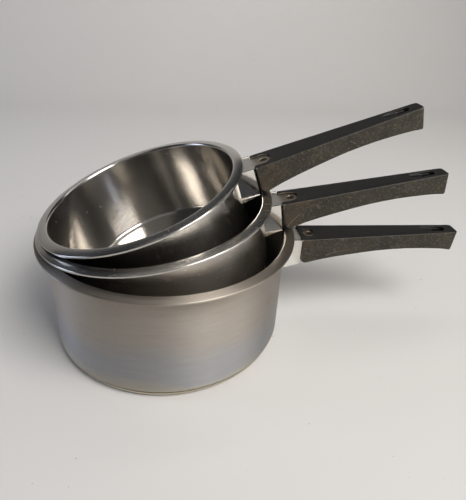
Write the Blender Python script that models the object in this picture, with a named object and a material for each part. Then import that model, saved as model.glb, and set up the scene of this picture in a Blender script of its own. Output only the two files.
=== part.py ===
"""A nest of three stainless steel saucepans, largest at the bottom, each built from its own pieces.

Metres, +Z up, +X towards the large pan's handle. The origin is at the centre of the large pan's base.
Every pan is modelled upright in its own frame, with its base centre at that frame's origin.
The medium and small pans' frames are tilted: each rim leans on the rim of the pan below at one side,
and each handle's underside rests on it at the other.
"""

import math

import bmesh
import bpy
from mathutils import Matrix

# Pans: the mouth radius is the inside of the wall, and the height is from the base to the top of the rim.
MOUTH = 0.100
HEIGHT = 0.0995
MOUTH_STEP = 0.010
HEIGHT_STEPS = (0.0100, 0.0105)
LARGE = dict(name="large", mouth=MOUTH, height=HEIGHT, recess="window", seat=None)
# A seat is how a pan rests in the one below: its shift aside, its turns in degrees, and the gaps at its
# lip, at its wall and under its bracket, measured in the plane of the handle.
MEDIUM = dict(
    name="medium", mouth=MOUTH - MOUTH_STEP, height=HEIGHT - HEIGHT_STEPS[0], recess="slot",
    seat=dict(aside=0.0019, roll=0.0, swing=0.5, lip=0.0003027, wall=0.0005394, web=0.0002895),
)
SMALL = dict(
    name="small", mouth=MOUTH - 2 * MOUTH_STEP, height=HEIGHT - sum(HEIGHT_STEPS), recess="slot",
    seat=dict(
        aside=0.0030134, roll=2.041385, swing=2.116512, lip=0.0007664, wall=0.0010312, web=0.0006376
    ),
)

# Clearances.
GAP = 0.0003
FRONT_GAP = 0.0006

# Drawn shell.
ROUND = 48
WALL = 0.0008
RIM_WIDTH = 0.0090
RIM_DROP = 0.0009
RIM_ROLL = 0.0018
RIM_EDGE = 0.0007
LIP_FOOT = 0.0026
FLOOR_TOP = 0.0055
CORNER = 0.0040

# Base: aluminium core inside a steel cap.
CAP_SHEET = 0.0006
CAP_INSET = 0.0004
CAP_CORNER = 0.0060
CAP_TOP = FLOOR_TOP
CORE_TOP = FLOOR_TOP - WALL - GAP

# Handle: where its front face stands and how its section changes from front to tail.
HANDLE_OFF_RIM = 0.0080
HANDLE_BELOW_RIM = 0.0092
HANDLE_LENGTH = 0.152
HANDLE_RISE = 0.7
FRONT_WIDTH = 0.0290
TAIL_WIDTH = 0.0152
FRONT_DEPTH = 0.0245
EDGE = 0.0014
END_INSET = 0.0007
END_SHARPER = 0.0004
TAIL_UNDERCUT = 0.0020
TAIL_CORNER = 0.0030
# Distances from the tail at which its corners' rounding is drawn.
TAIL_STEPS = (0.0030, 0.0017, 0.0007, 0.0)
# The underside's curve: share of the length, and how far it stands above the deepest line there.
UNDERSIDE = (
    (0.0, 0.0055), (0.006, 0.0029), (0.016, 0.0010), (0.034, 0.0), (0.12, 0.0028), (0.21, 0.0048),
    (0.30, 0.0063), (0.40, 0.0078), (0.50, 0.0089), (0.59, 0.0093), (0.68, 0.0092), (0.77, 0.0085),
    (0.85, 0.0076), (0.93, 0.0063), (0.98, 0.0051), (0.998, 0.0049), (1.0, 0.0057),
)

# Tang: a flat bar between the bracket's cheeks that runs into the handle.
TANG_SHEET = 0.0018
TANG_BELOW_TOP = 0.0012
TONGUE_WIDTH = 0.0164
TONGUE_LENGTH = 0.0155
SCREW_AT = 0.0096
RECESS_LENGTH = TONGUE_LENGTH + GAP
RECESS_WIDTH = TONGUE_WIDTH + 2 * GAP
RECESS_DEPTH = TANG_BELOW_TOP + TANG_SHEET + GAP
WINDOW_LENGTH = 0.0100
WINDOW_WIDTH = 0.0130

# Countersunk screw and the brass insert it turns into.
HEAD_RADIUS = 0.0033
HEAD_HEIGHT = 0.0016
SHANK_RADIUS = 0.0019
SCREW_LENGTH = 0.0125
DRIVE_WIDTH = 0.0009
DRIVE_LENGTH = 0.0038
DRIVE_DEPTH = 0.0010
INSERT_RADIUS = 0.0036
INSERT_LENGTH = 0.0100

# Bracket: cheeks, web and back plate of one folded sheet.
BRACKET_SHEET = 0.0012
CHEEK_FLARE = 0.0060
BRACKET_LIP = 0.0007
BRACKET_LIP_WIDTH = 0.0016
BACK_STEPS = 10

# Hanging groove and the hole at its tail end.
HOLE_WIDTH = 0.0070
HOLE_LENGTH = 0.0120
HOLE_FROM_TAIL = 0.0167
GROOVE_LENGTH = 0.0240
GROOVE_WIDTH = 0.0080
GROOVE_START = 0.0010
GROOVE_SLOPE = 4.0


def make_material(name, colour, metallic, roughness):
    material = bpy.data.materials.new(name)
    material.use_nodes = True
    shader = material.node_tree.nodes["Principled BSDF"]
    shader.inputs["Base Color"].default_value = (*colour, 1)
    shader.inputs["Metallic"].default_value = metallic
    shader.inputs["Roughness"].default_value = roughness
    return material


def add_object(name, bm, frame, material, smooth=True):
    bmesh.ops.recalc_face_normals(bm, faces=bm.faces)
    mesh = bpy.data.meshes.new(name)
    bm.to_mesh(mesh)
    bm.free()
    obj = bpy.data.objects.new(name, mesh)
    bpy.context.scene.collection.objects.link(obj)
    obj.parent = frame
    if material:
        mesh.materials.append(material)
    if smooth:
        mesh.shade_smooth()
        mesh.set_sharp_from_angle(angle=math.radians(32))
    return obj


def arc(centre, radius, start, end, steps):
    """Points on an arc in the plane of a profile, from start to end in degrees."""
    points = []
    for i in range(steps + 1):
        angle = math.radians(start + (end - start) * i / steps)
        points.append((centre[0] + radius * math.cos(angle), centre[1] + radius * math.sin(angle)))
    return points


def lathe(profile, steps=ROUND, at=(0, 0)):
    """A solid of revolution about a vertical axis. The profile runs from the axis back to the axis."""
    bm = bmesh.new()
    rings = []
    for radius, z in profile:
        if radius == 0:
            rings.append([bm.verts.new((at[0], at[1], z))])
            continue
        ring = []
        for i in range(steps):
            angle = 2 * math.pi * i / steps
            ring.append(
                bm.verts.new((at[0] + radius * math.cos(angle), at[1] + radius * math.sin(angle), z))
            )
        rings.append(ring)
    for low, high in zip(rings, rings[1:]):
        for i in range(steps):
            j = (i + 1) % steps
            corners = [low[i % len(low)], low[j % len(low)], high[j % len(high)], high[i % len(high)]]
            bm.faces.new(list(dict.fromkeys(corners)))
    return bm


def tube(profile, steps=ROUND, at=(0, 0)):
    """A ring of revolution: the closed profile doesn't touch the axis."""
    bm = bmesh.new()
    rings = []
    for radius, z in profile:
        ring = []
        for i in range(steps):
            angle = 2 * math.pi * i / steps
            ring.append(
                bm.verts.new((at[0] + radius * math.cos(angle), at[1] + radius * math.sin(angle), z))
            )
        rings.append(ring)
    for low, high in zip(rings, rings[1:] + rings[:1]):
        for i in range(steps):
            j = (i + 1) % steps
            bm.faces.new((low[i], low[j], high[j], high[i]))
    return bm


def prism(outline, low, high):
    """A straight prism over a plan outline."""
    bm = bmesh.new()
    below = [bm.verts.new((x, y, low)) for x, y in outline]
    above = [bm.verts.new((x, y, high)) for x, y in outline]
    bm.faces.new(below)
    bm.faces.new(above)
    for i in range(len(outline)):
        j = (i + 1) % len(outline)
        bm.faces.new((below[i], below[j], above[j], above[i]))
    return bm


def stadium(x, length, width, steps=8):
    """A slot's plan outline, centred on the X axis with its middle at x."""
    half = (length - width) / 2
    return arc((x + half, 0), width / 2, -90, 90, steps) + arc((x - half, 0), width / 2, 90, 270, steps)


def cut(obj, bm, frame, name):
    """Cuts the shape in bm from the object."""
    cutter = add_object(name, bm, frame, None, smooth=False)
    cutter.hide_render = True
    cutter.display_type = "WIRE"
    modifier = obj.modifiers.new(name, "BOOLEAN")
    modifier.operation = "DIFFERENCE"
    modifier.solver = "EXACT"
    modifier.object = cutter
    return cutter


def seat_at(pan, below):
    """Where a pan's rim comes to rest on the rim below, in the plane of the handle: x, z and lean.

    The lip's outer foot stands on the sloping rim on one side, the bracket's web on the other,
    and the wall touches the mouth's inner edge. The lean is found by halving.
    """
    seat = pan["seat"]
    reach = math.sqrt((below["mouth"] + RIM_ROLL) ** 2 - (FRONT_WIDTH / 2) ** 2)
    slope = RIM_DROP / (RIM_WIDTH - RIM_EDGE - RIM_ROLL)

    def rest(lean):
        cosine, sine = math.cos(lean), math.sin(lean)
        along = -below["mouth"] * cosine - LIP_FOOT * sine + pan["mouth"] + WALL + seat["wall"]
        up = HANDLE_BELOW_RIM + FRONT_DEPTH + seat["web"] - reach * sine
        x, z = along * cosine - up * sine, along * sine + up * cosine
        foot_x = x - (pan["mouth"] + RIM_WIDTH) * cosine + LIP_FOOT * sine
        foot_z = z - (pan["mouth"] + RIM_WIDTH) * sine - LIP_FOOT * cosine
        return x, z, foot_z + (-foot_x - below["mouth"] - RIM_ROLL) * slope - seat["lip"]

    low, high = 0.0, math.radians(45)
    for _ in range(60):
        middle = (low + high) / 2
        if rest(middle)[2] > 0:
            low = middle
        else:
            high = middle
    x, z, _ = rest(low)
    return x, z, low


def pan_frame(pan, below, below_place):
    """An empty at the pan's base centre, and its place in the world."""
    place = Matrix.Identity(4)
    if below:
        x, z, lean = seat_at(pan, below)
        seat = pan["seat"]
        place = (
            below_place
            @ Matrix.Translation((x, seat["aside"], below["height"] + z))
            @ Matrix.Rotation(math.radians(seat["swing"]), 4, "Z")
            @ Matrix.Rotation(-lean, 4, "Y")
            @ Matrix.Rotation(math.radians(seat["roll"]), 4, "X")
            @ Matrix.Translation((0, 0, -pan["height"]))
        )
    empty = bpy.data.objects.new(pan["name"] + "_frame", None)
    empty.empty_display_size = 0.02
    bpy.context.scene.collection.objects.link(empty)
    empty.matrix_world = place
    return empty, place


def body_shell(pan, frame):
    """Deep drawn steel: flat floor, straight wall, flared pouring rim with a turned-down lip."""
    mouth = pan["mouth"]
    top = pan["height"]
    outer = mouth + WALL
    corner_z = FLOOR_TOP + CORNER
    profile = [(0, FLOOR_TOP)]
    profile += arc((mouth - CORNER, corner_z), CORNER, -90, 0, 3)
    profile += [
        (mouth, top - LIP_FOOT),
        (mouth + 0.0004, top - 0.0012),
        (mouth + 0.0010, top - 0.0004),
        (mouth + RIM_ROLL, top),
        (mouth + RIM_WIDTH - RIM_EDGE, top - RIM_DROP),
        (mouth + RIM_WIDTH - 0.0002, top - RIM_DROP - 0.0003),
        (mouth + RIM_WIDTH, top - RIM_DROP - 0.0008),
        (mouth + RIM_WIDTH, top - LIP_FOOT),
        (mouth + RIM_WIDTH - WALL, top - LIP_FOOT),
        (mouth + RIM_WIDTH - WALL, top - RIM_DROP - WALL),
        (mouth + 0.0022, top - 0.0010),
        (mouth + 0.0013, top - 0.0018),
        (outer, top - 0.0034),
    ]
    profile += arc((mouth - CORNER, corner_z), CORNER + WALL, 0, -90, 4)
    profile.append((0, FLOOR_TOP - WALL))
    steel = make_material(pan["name"] + "_steel", (0.62, 0.60, 0.56), 1.0, 0.26)
    return add_object(pan["name"] + "_body", lathe(profile), frame, steel)


def base_core(pan, frame):
    """Aluminium disc that spreads the heat, hidden between the floor and the cap."""
    mouth = pan["mouth"]
    low = CAP_SHEET + GAP
    profile = [
        (0, low),
        (mouth - 0.0057, low),
        (mouth - 0.0030, 0.0026),
        (mouth - 0.0028, 0.0036),
        (mouth - 0.0040, CORE_TOP),
        (0, CORE_TOP),
    ]
    aluminium = make_material(pan["name"] + "_aluminium", (0.72, 0.72, 0.73), 1.0, 0.42)
    return add_object(pan["name"] + "_core", lathe(profile), frame, aluminium)


def base_cap(pan, frame):
    """Dished steel cap pressed over the core, flat underneath."""
    reach = pan["mouth"] - CAP_INSET
    centre = (reach - CAP_CORNER, CAP_CORNER)
    top_angle = math.degrees(math.asin((CAP_TOP - CAP_CORNER) / CAP_CORNER))
    inner_angle = math.degrees(math.asin((CAP_TOP - CAP_CORNER) / (CAP_CORNER - CAP_SHEET)))
    profile = [(0, 0)]
    profile += arc(centre, CAP_CORNER, -90, top_angle, 4)
    profile += arc(centre, CAP_CORNER - CAP_SHEET, inner_angle, -90, 4)
    profile.append((0, CAP_SHEET))
    steel = make_material(pan["name"] + "_base_steel", (0.58, 0.57, 0.55), 1.0, 0.32)
    return add_object(pan["name"] + "_cap", lathe(profile), frame, steel)


def handle_front(pan):
    return pan["mouth"] + RIM_WIDTH + HANDLE_OFF_RIM


def handle_top(pan):
    return pan["height"] - HANDLE_BELOW_RIM


def wall_x(pan, y, off):
    """X of a curved edge that follows the pan's wall at this distance off it."""
    radius = pan["mouth"] + WALL + off
    return math.sqrt(radius * radius - y * y)


def bracket(pan, frame):
    """Folded steel: two cheeks that flare towards the wall, a web below and a back plate on the wall."""
    front = handle_front(pan) - FRONT_GAP
    top = handle_top(pan)
    low = top - FRONT_DEPTH
    half = FRONT_WIDTH / 2
    back_top = top - TANG_BELOW_TOP - TANG_SHEET - GAP

    def outline(flare, inset, z):
        side = half - inset
        foot = half + flare - inset
        off = GAP + inset
        points = [(front, -side - BRACKET_LIP * (inset == 0)), (front - BRACKET_LIP_WIDTH, -side)]
        for i in range(BACK_STEPS + 1):
            y = -foot + 2 * foot * i / BACK_STEPS
            points.append((wall_x(pan, y, off), y))
        points += [(front - BRACKET_LIP_WIDTH, side), (front, side + BRACKET_LIP * (inset == 0))]
        return [bm.verts.new((x, y, z)) for x, y in points]

    bm = bmesh.new()
    outer_low = outline(CHEEK_FLARE, 0, low)
    outer_top = outline(0, 0, top)
    inner_low = outline(CHEEK_FLARE, BRACKET_SHEET, low + BRACKET_SHEET)
    inner_top = outline(0, BRACKET_SHEET, top)
    last = len(outer_low) - 1
    for low_edge, top_edge in ((outer_low, outer_top), (inner_low, inner_top)):
        for i in range(last):
            if i == 1:
                bm.faces.new((low_edge[1], low_edge[2], top_edge[2]))
                bm.faces.new((low_edge[1], top_edge[2], top_edge[1]))
            elif i == last - 2:
                bm.faces.new((low_edge[i], low_edge[i + 1], top_edge[i]))
                bm.faces.new((low_edge[i + 1], top_edge[i + 1], top_edge[i]))
            else:
                bm.faces.new((low_edge[i], low_edge[i + 1], top_edge[i + 1], top_edge[i]))
    bm.faces.new(outer_low)
    bm.faces.new(inner_low)
    for i in range(last):
        bm.faces.new((outer_top[i], outer_top[i + 1], inner_top[i + 1], inner_top[i]))
    bm.faces.new((outer_low[0], outer_low[last], inner_low[last], inner_low[0]))
    bm.faces.new((outer_low[0], outer_top[0], inner_top[0], inner_low[0]))
    bm.faces.new((outer_low[last], outer_top[last], inner_top[last], inner_low[last]))
    steel = make_material(pan["name"] + "_bracket_steel", (0.66, 0.64, 0.60), 1.0, 0.24)
    obj = add_object(pan["name"] + "_bracket", bm, frame, steel, smooth=False)
    # The back plate stops under the tang, which runs over it to the wall.
    reach = half - BRACKET_SHEET
    clear = [(wall_x(pan, 0, -0.004), -reach), (front + 0.002, -reach), (front + 0.002, reach)]
    clear.append((wall_x(pan, 0, -0.004), reach))
    cut(obj, prism(clear, back_top, top + 0.002), frame, pan["name"] + "_back_cutter")
    return obj


def tang(pan, frame):
    """Flat bar from the wall to the handle, with a narrower round-ended tongue for the screw."""
    front = handle_front(pan)
    high = handle_top(pan) - TANG_BELOW_TOP
    half = FRONT_WIDTH / 2 - BRACKET_SHEET - GAP
    shoulder = front - FRONT_GAP
    tip = front + TONGUE_LENGTH - TONGUE_WIDTH / 2
    outline = [(shoulder, -half)]
    outline += [(shoulder, -TONGUE_WIDTH / 2)]
    outline += arc((tip, 0), TONGUE_WIDTH / 2, -90, 90, 12)
    outline += [(shoulder, TONGUE_WIDTH / 2), (shoulder, half)]
    for i in range(BACK_STEPS + 1):
        y = half - 2 * half * i / BACK_STEPS
        outline.append((wall_x(pan, y, GAP), y))
    steel = make_material(pan["name"] + "_tang_steel", (0.64, 0.62, 0.58), 1.0, 0.30)
    obj = add_object(
        pan["name"] + "_tang", prism(outline, high - TANG_SHEET, high), frame, steel, smooth=False
    )
    wide = HEAD_RADIUS + GAP
    narrow = SHANK_RADIUS + GAP
    sink = [
        (0, high + 0.001),
        (wide, high + 0.001),
        (wide, high),
        (narrow, high - HEAD_HEIGHT),
        (narrow, high - TANG_SHEET - 0.001),
        (0, high - TANG_SHEET - 0.001),
    ]
    cut(obj, lathe(sink, 20, (front + SCREW_AT, 0)), frame, pan["name"] + "_sink_cutter")
    return obj


def screw(pan, frame):
    """Countersunk cross-head screw through the tongue."""
    at = (handle_front(pan) + SCREW_AT, 0)
    high = handle_top(pan) - TANG_BELOW_TOP
    profile = [
        (0, high),
        (HEAD_RADIUS - 0.0002, high),
        (HEAD_RADIUS, high - 0.0001),
        (SHANK_RADIUS, high - HEAD_HEIGHT),
        (SHANK_RADIUS, high - SCREW_LENGTH + 0.0008),
        (SHANK_RADIUS - 0.0007, high - SCREW_LENGTH),
        (0, high - SCREW_LENGTH),
    ]
    steel = make_material(pan["name"] + "_screw_steel", (0.30, 0.29, 0.27), 1.0, 0.38)
    obj = add_object(pan["name"] + "_screw", lathe(profile, 20, at), frame, steel)
    for index, (along, across) in enumerate(((DRIVE_LENGTH, DRIVE_WIDTH), (DRIVE_WIDTH, DRIVE_LENGTH))):
        outline = [
            (at[0] - along / 2, -across / 2),
            (at[0] + along / 2, -across / 2),
            (at[0] + along / 2, across / 2),
            (at[0] - along / 2, across / 2),
        ]
        slot = prism(outline, high - DRIVE_DEPTH, high + 0.001)
        cut(obj, slot, frame, pan["name"] + "_drive_cutter_" + str(index))
    return obj


def insert(pan, frame):
    """Threaded brass bush in the handle, shown with a plain bore."""
    at = (handle_front(pan) + SCREW_AT, 0)
    high = handle_top(pan) - RECESS_DEPTH - GAP
    bore = SHANK_RADIUS + GAP
    profile = [
        (bore, high),
        (INSERT_RADIUS, high),
        (INSERT_RADIUS, high - INSERT_LENGTH * 0.35),
        (INSERT_RADIUS - 0.0004, high - INSERT_LENGTH * 0.42),
        (INSERT_RADIUS - 0.0004, high - INSERT_LENGTH * 0.58),
        (INSERT_RADIUS, high - INSERT_LENGTH * 0.65),
        (INSERT_RADIUS, high - INSERT_LENGTH),
        (bore, high - INSERT_LENGTH),
    ]
    brass = make_material(pan["name"] + "_brass", (0.72, 0.55, 0.28), 1.0, 0.35)
    return add_object(pan["name"] + "_insert", tube(profile, 20, at), frame, brass)


def handle_section(x, half, high, depth, edge):
    """Rounded rectangle across the handle at x."""
    low = high - depth
    points = []
    corners = ((half, low, -90), (half, high, 0), (-half, high, 90), (-half, low, 180))
    for y, z, start in corners:
        centre = (y - math.copysign(edge, y), z + (edge if z == low else -edge))
        points += [(x, across, up) for across, up in arc(centre, edge, start, start + 90, 2)]
    return points


def underside_rise(share):
    """How far the underside stands above its deepest line, read off between the table's rows."""
    for (near, rise), (far, next_rise) in zip(UNDERSIDE, UNDERSIDE[1:]):
        if share <= far:
            return rise + (next_rise - rise) * (share - near) / (far - near)
    return UNDERSIDE[-1][1]


def handle(pan, frame):
    """Black moulded grip: deep at the front, hollowed underneath, tapering in plan to a square tail."""
    front = handle_front(pan)
    top = handle_top(pan)
    bm = bmesh.new()
    rings = []
    ends = (0.0, 1.0)
    rounded_from = 1 - TAIL_STEPS[0] / HANDLE_LENGTH
    stations = [share for share, rise in UNDERSIDE if share < rounded_from - 0.001]
    stations += [1 - step / HANDLE_LENGTH for step in TAIL_STEPS]
    for share in stations:
        depth = FRONT_DEPTH - underside_rise(share)
        half = (FRONT_WIDTH + (TAIL_WIDTH - FRONT_WIDTH) * share) / 2
        short = max(0, TAIL_CORNER - (1 - share) * HANDLE_LENGTH)
        half -= TAIL_CORNER - math.sqrt(TAIL_CORNER * TAIL_CORNER - short * short)
        if share in ends:
            section = handle_section(
                share * HANDLE_LENGTH, half - END_INSET, -END_INSET, depth - 2 * END_INSET, EDGE - END_SHARPER
            )
        else:
            section = handle_section(share * HANDLE_LENGTH, half, 0, depth, EDGE)
        # The tail's face leans in below.
        lean = TAIL_UNDERCUT * max(0, share - 0.9) / 0.1
        rings.append([bm.verts.new((x + lean * z / 0.02, y, z)) for x, y, z in section])
    bm.faces.new(rings[0])
    bm.faces.new(rings[-1])
    for near, far in zip(rings, rings[1:]):
        for i in range(len(near)):
            j = (i + 1) % len(near)
            bm.faces.new((near[i], near[j], far[j], far[i]))
    place = Matrix.Translation((front, 0, top)) @ Matrix.Rotation(-math.radians(HANDLE_RISE), 4, "Y")
    bm.transform(place)
    resin = make_material(pan["name"] + "_resin", (0.035, 0.032, 0.030), 0.0, 0.42)
    obj = add_object(pan["name"] + "_handle", bm, frame, resin)

    floor = top - RECESS_DEPTH
    tip = front + RECESS_LENGTH - RECESS_WIDTH / 2
    slot = [(front - 0.003, -RECESS_WIDTH / 2)] + arc((tip, 0), RECESS_WIDTH / 2, -90, 90, 12)
    slot.append((front - 0.003, RECESS_WIDTH / 2))
    if pan["recess"] == "slot":
        cut(obj, prism(slot, floor, top + 0.004), frame, pan["name"] + "_recess_cutter")
    else:
        cut(obj, prism(slot, floor, top - TANG_BELOW_TOP + GAP), frame, pan["name"] + "_recess_cutter")
        window = []
        for i in range(20):
            angle = 2 * math.pi * i / 20
            x = front + SCREW_AT - 0.0012 + WINDOW_LENGTH / 2 * math.cos(angle)
            window.append((x, WINDOW_WIDTH / 2 * math.sin(angle)))
        cut(obj, prism(window, floor + 0.0005, top + 0.004), frame, pan["name"] + "_window_cutter")
    deep = floor - INSERT_LENGTH - 3 * GAP
    pocket_radius = INSERT_RADIUS + GAP
    pocket = [(0, floor + 0.0004), (pocket_radius, floor + 0.0004), (pocket_radius, deep), (0, deep)]
    cut(obj, lathe(pocket, 20, (front + SCREW_AT, 0)), frame, pan["name"] + "_insert_cutter")

    hole_x = HANDLE_LENGTH - HOLE_FROM_TAIL
    hole = prism(stadium(hole_x, HOLE_LENGTH, HOLE_WIDTH), -0.030, 0.004)
    hole.transform(place)
    cut(obj, hole, frame, pan["name"] + "_hole_cutter")
    groove_end = hole_x + HOLE_LENGTH / 2
    groove = prism(stadium(-GROOVE_LENGTH / 2, GROOVE_LENGTH, GROOVE_WIDTH), 0, 0.012)
    depth = GROOVE_START + GROOVE_LENGTH * math.sin(math.radians(GROOVE_SLOPE))
    groove.transform(
        place
        @ Matrix.Translation((groove_end, 0, -depth))
        @ Matrix.Rotation(math.radians(GROOVE_SLOPE), 4, "Y")
    )
    cut(obj, groove, frame, pan["name"] + "_groove_cutter")
    return obj


def build_pan(pan, below, below_place):
    frame, place = pan_frame(pan, below, below_place)
    body_shell(pan, frame)
    base_core(pan, frame)
    base_cap(pan, frame)
    bracket(pan, frame)
    tang(pan, frame)
    handle(pan, frame)
    screw(pan, frame)
    insert(pan, frame)
    return place


for old in list(bpy.data.objects):
    bpy.data.objects.remove(old, do_unlink=True)

lower, lower_place = None, None
for saucepan in (LARGE, MEDIUM, SMALL):
    lower_place = build_pan(saucepan, lower, lower_place)
    lower = saucepan
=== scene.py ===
import math

import bmesh
import bpy
import numpy
from mathutils import Matrix, Vector


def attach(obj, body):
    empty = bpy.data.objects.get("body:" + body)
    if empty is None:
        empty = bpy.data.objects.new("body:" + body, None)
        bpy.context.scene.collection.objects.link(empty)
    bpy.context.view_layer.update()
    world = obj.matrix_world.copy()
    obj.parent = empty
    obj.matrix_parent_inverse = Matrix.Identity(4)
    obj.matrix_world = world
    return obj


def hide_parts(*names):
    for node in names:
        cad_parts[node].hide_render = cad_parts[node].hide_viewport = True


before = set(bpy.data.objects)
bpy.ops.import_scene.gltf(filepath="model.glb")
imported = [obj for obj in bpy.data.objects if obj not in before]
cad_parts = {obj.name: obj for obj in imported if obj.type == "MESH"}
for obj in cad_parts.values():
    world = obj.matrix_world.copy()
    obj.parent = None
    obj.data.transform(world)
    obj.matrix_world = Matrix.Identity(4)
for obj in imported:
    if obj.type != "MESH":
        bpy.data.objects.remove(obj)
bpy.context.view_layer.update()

# The studio: a pale sheet that the nest stands on and that curves up a little way behind it.
# Matt off-white card, with faint clouding and a few specks of dust.
SHEET_REACH = 6.0
SHEET_BEND_AT = 0.80
SHEET_BEND = 0.45
SHEET_TOP = 0.78
SHEET_COLOUR = (0.655, 0.640, 0.622)
SHEET_CLOUD = (0.685, 0.670, 0.652)
SHEET_DUST = (0.42, 0.39, 0.35)
CLOUD_SCALE = 2.2
DUST_SCALE = 210.0
DUST_EDGE = (0.775, 0.80)
BEND_STEPS = 16


def add_node(tree, kind, settings=None, **inputs):
    """A shader node. An input is a value, or another node's output to link; _ stands for a space."""
    node = tree.nodes.new("ShaderNode" + kind)
    for name, value in (settings or {}).items():
        setattr(node, name, value)
    for name, value in inputs.items():
        socket = node.inputs[name.replace("_", " ")]
        if isinstance(value, bpy.types.NodeSocket):
            tree.links.new(value, socket)
        else:
            socket.default_value = value
    return node


def sum_of(tree, operation, *terms, clamp=False):
    """A Math node's output."""
    node = add_node(tree, "Math", {"operation": operation, "use_clamp": clamp})
    for socket, term in zip(node.inputs, terms):
        if isinstance(term, bpy.types.NodeSocket):
            tree.links.new(term, socket)
        else:
            socket.default_value = term
    return node.outputs[0]


def vector_of(tree, operation, *terms):
    """A Vector Math node's output."""
    node = add_node(tree, "VectorMath", {"operation": operation})
    for socket, term in zip(node.inputs, terms):
        if isinstance(term, bpy.types.NodeSocket):
            tree.links.new(term, socket)
        else:
            socket.default_value = term
    return node.outputs[0]


def noise_of(tree, vector, scale, detail=3.0, roughness=0.5):
    """A Noise Texture's grey output."""
    node = add_node(tree, "TexNoise", Vector=vector, Scale=scale, Detail=detail, Roughness=roughness)
    return node.outputs[0]


def step_of(tree, value, low, high):
    """0 below low and 1 above high, smooth between."""
    node = add_node(tree, "MapRange", {"interpolation_type": "SMOOTHSTEP"}, Value=value)
    node.inputs["From Min"].default_value = low
    node.inputs["From Max"].default_value = high
    return node.outputs[0]


def blend_of(tree, share, first, second):
    """One colour turning into another as share goes from 0 to 1."""
    node = add_node(tree, "Mix", {"data_type": "RGBA"})
    for socket, value in zip((node.inputs[0], node.inputs[6], node.inputs[7]), (share, first, second)):
        if isinstance(value, bpy.types.NodeSocket):
            tree.links.new(value, socket)
        else:
            socket.default_value = value if socket.name == "Factor" else (*value, 1)
    return node.outputs[2]


def new_material(name, **values):
    """A material with its tree and its Principled shader, whose even values are set on its sockets."""
    material = bpy.data.materials.new(name)
    material.use_nodes = True
    shader = material.node_tree.nodes["Principled BSDF"]
    for socket, value in values.items():
        shader.inputs[socket.replace("_", " ")].default_value = value
    return material, material.node_tree, shader


sheet_profile = [(-SHEET_REACH, 0.0), (SHEET_BEND_AT, 0.0)]
for step in range(1, BEND_STEPS + 1):
    angle = math.radians(90 * step / BEND_STEPS)
    sheet_profile.append(
        (SHEET_BEND_AT + SHEET_BEND * math.sin(angle), SHEET_BEND * (1 - math.cos(angle)))
    )
sheet_profile.append((SHEET_BEND_AT + SHEET_BEND, SHEET_TOP))
sheet_mesh = bpy.data.meshes.new("studio_sheet")
bm = bmesh.new()
edges = [[bm.verts.new((x, y, z)) for x in (-SHEET_REACH, SHEET_REACH)] for y, z in sheet_profile]
for near, far in zip(edges, edges[1:]):
    bm.faces.new((near[0], near[1], far[1], far[0]))
bm.to_mesh(sheet_mesh)
bm.free()
sheet_mesh.shade_smooth()
sheet = bpy.data.objects.new("studio_sheet", sheet_mesh)
bpy.context.scene.collection.objects.link(sheet)
card, tree, shader = new_material("pale_card", Roughness=0.55)
place = add_node(tree, "TexCoord").outputs["Object"]
cloud = noise_of(tree, place, CLOUD_SCALE, detail=2.0)
dust = step_of(tree, noise_of(tree, place, DUST_SCALE, detail=1.0), *DUST_EDGE)
tone = blend_of(tree, cloud, SHEET_COLOUR, SHEET_CLOUD)
tree.links.new(blend_of(tree, dust, tone, SHEET_DUST), shader.inputs["Base Color"])
sheet_mesh.materials.append(card)

# The light: a dim room with one soft main lamp above to the front right and a broad faint glow round
# it, a weak cool window to the left, a weak warm glow low on the right, and a lamp aimed at the sheet
# where it curves up. The room shows pale beyond the sheet, but stays dim in the steel.
ROOM_LIGHT = (0.045, 0.048, 0.052)
ROOM_SEEN = (0.50, 0.49, 0.48)
LAMPS = (
    # name, stands at, aims at, width, height, power in watts, colour
    ("main_lamp", (0.62, -0.76, 1.22), (0.03, 0.0, 0.08), 0.80, 0.80, 22.0, (1.0, 0.978, 0.95)),
    ("left_window", (-1.30, 0.15, 0.62), (0.0, 0.0, 0.10), 0.30, 0.50, 3.0, (0.66, 0.76, 1.0)),
    ("right_glow", (1.10, -0.55, 0.35), (0.0, 0.0, 0.05), 0.40, 0.60, 1.6, (1.0, 0.96, 0.90)),
    ("backdrop_lamp", (0.10, 0.30, 0.95), (0.0, 1.15, 0.15), 1.20, 0.30, 2.4, (1.0, 0.98, 0.96)),
)
SKY_POWER = 0.32
SKY_SPREAD = 100.0
SKY_FROM = Vector((0.30, -0.40, 0.866))
SKY_COLOUR = (1.0, 0.98, 0.95)

world = bpy.data.worlds.new("studio_room")
bpy.context.scene.world = world
world.use_nodes = True
tree = world.node_tree
room = tree.nodes["Background"]
room.inputs["Color"].default_value = (*ROOM_LIGHT, 1)
seen = add_node(tree, "Background", Color=(*ROOM_SEEN, 1))
choice = add_node(tree, "MixShader")
tree.links.new(add_node(tree, "LightPath").outputs["Is Camera Ray"], choice.inputs[0])
tree.links.new(room.outputs[0], choice.inputs[1])
tree.links.new(seen.outputs[0], choice.inputs[2])
tree.links.new(choice.outputs[0], tree.nodes["World Output"].inputs["Surface"])
for name, at, aim, width, height, power, colour in LAMPS:
    lamp = bpy.data.lights.new(name, "AREA")
    lamp.shape = "RECTANGLE"
    lamp.size, lamp.size_y, lamp.energy, lamp.color = width, height, power, colour
    holder = bpy.data.objects.new(name, lamp)
    holder.location = at
    holder.rotation_euler = (Vector(aim) - Vector(at)).to_track_quat("-Z", "Y").to_euler()
    bpy.context.scene.collection.objects.link(holder)
sky = bpy.data.lights.new("ceiling_glow", "SUN")
sky.energy, sky.angle, sky.color = SKY_POWER, math.radians(SKY_SPREAD), SKY_COLOUR
holder = bpy.data.objects.new("ceiling_glow", sky)
holder.rotation_euler = SKY_FROM.to_track_quat("Z", "Y").to_euler()
bpy.context.scene.collection.objects.link(holder)
bpy.context.scene.view_settings.view_transform = "Standard"

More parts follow.
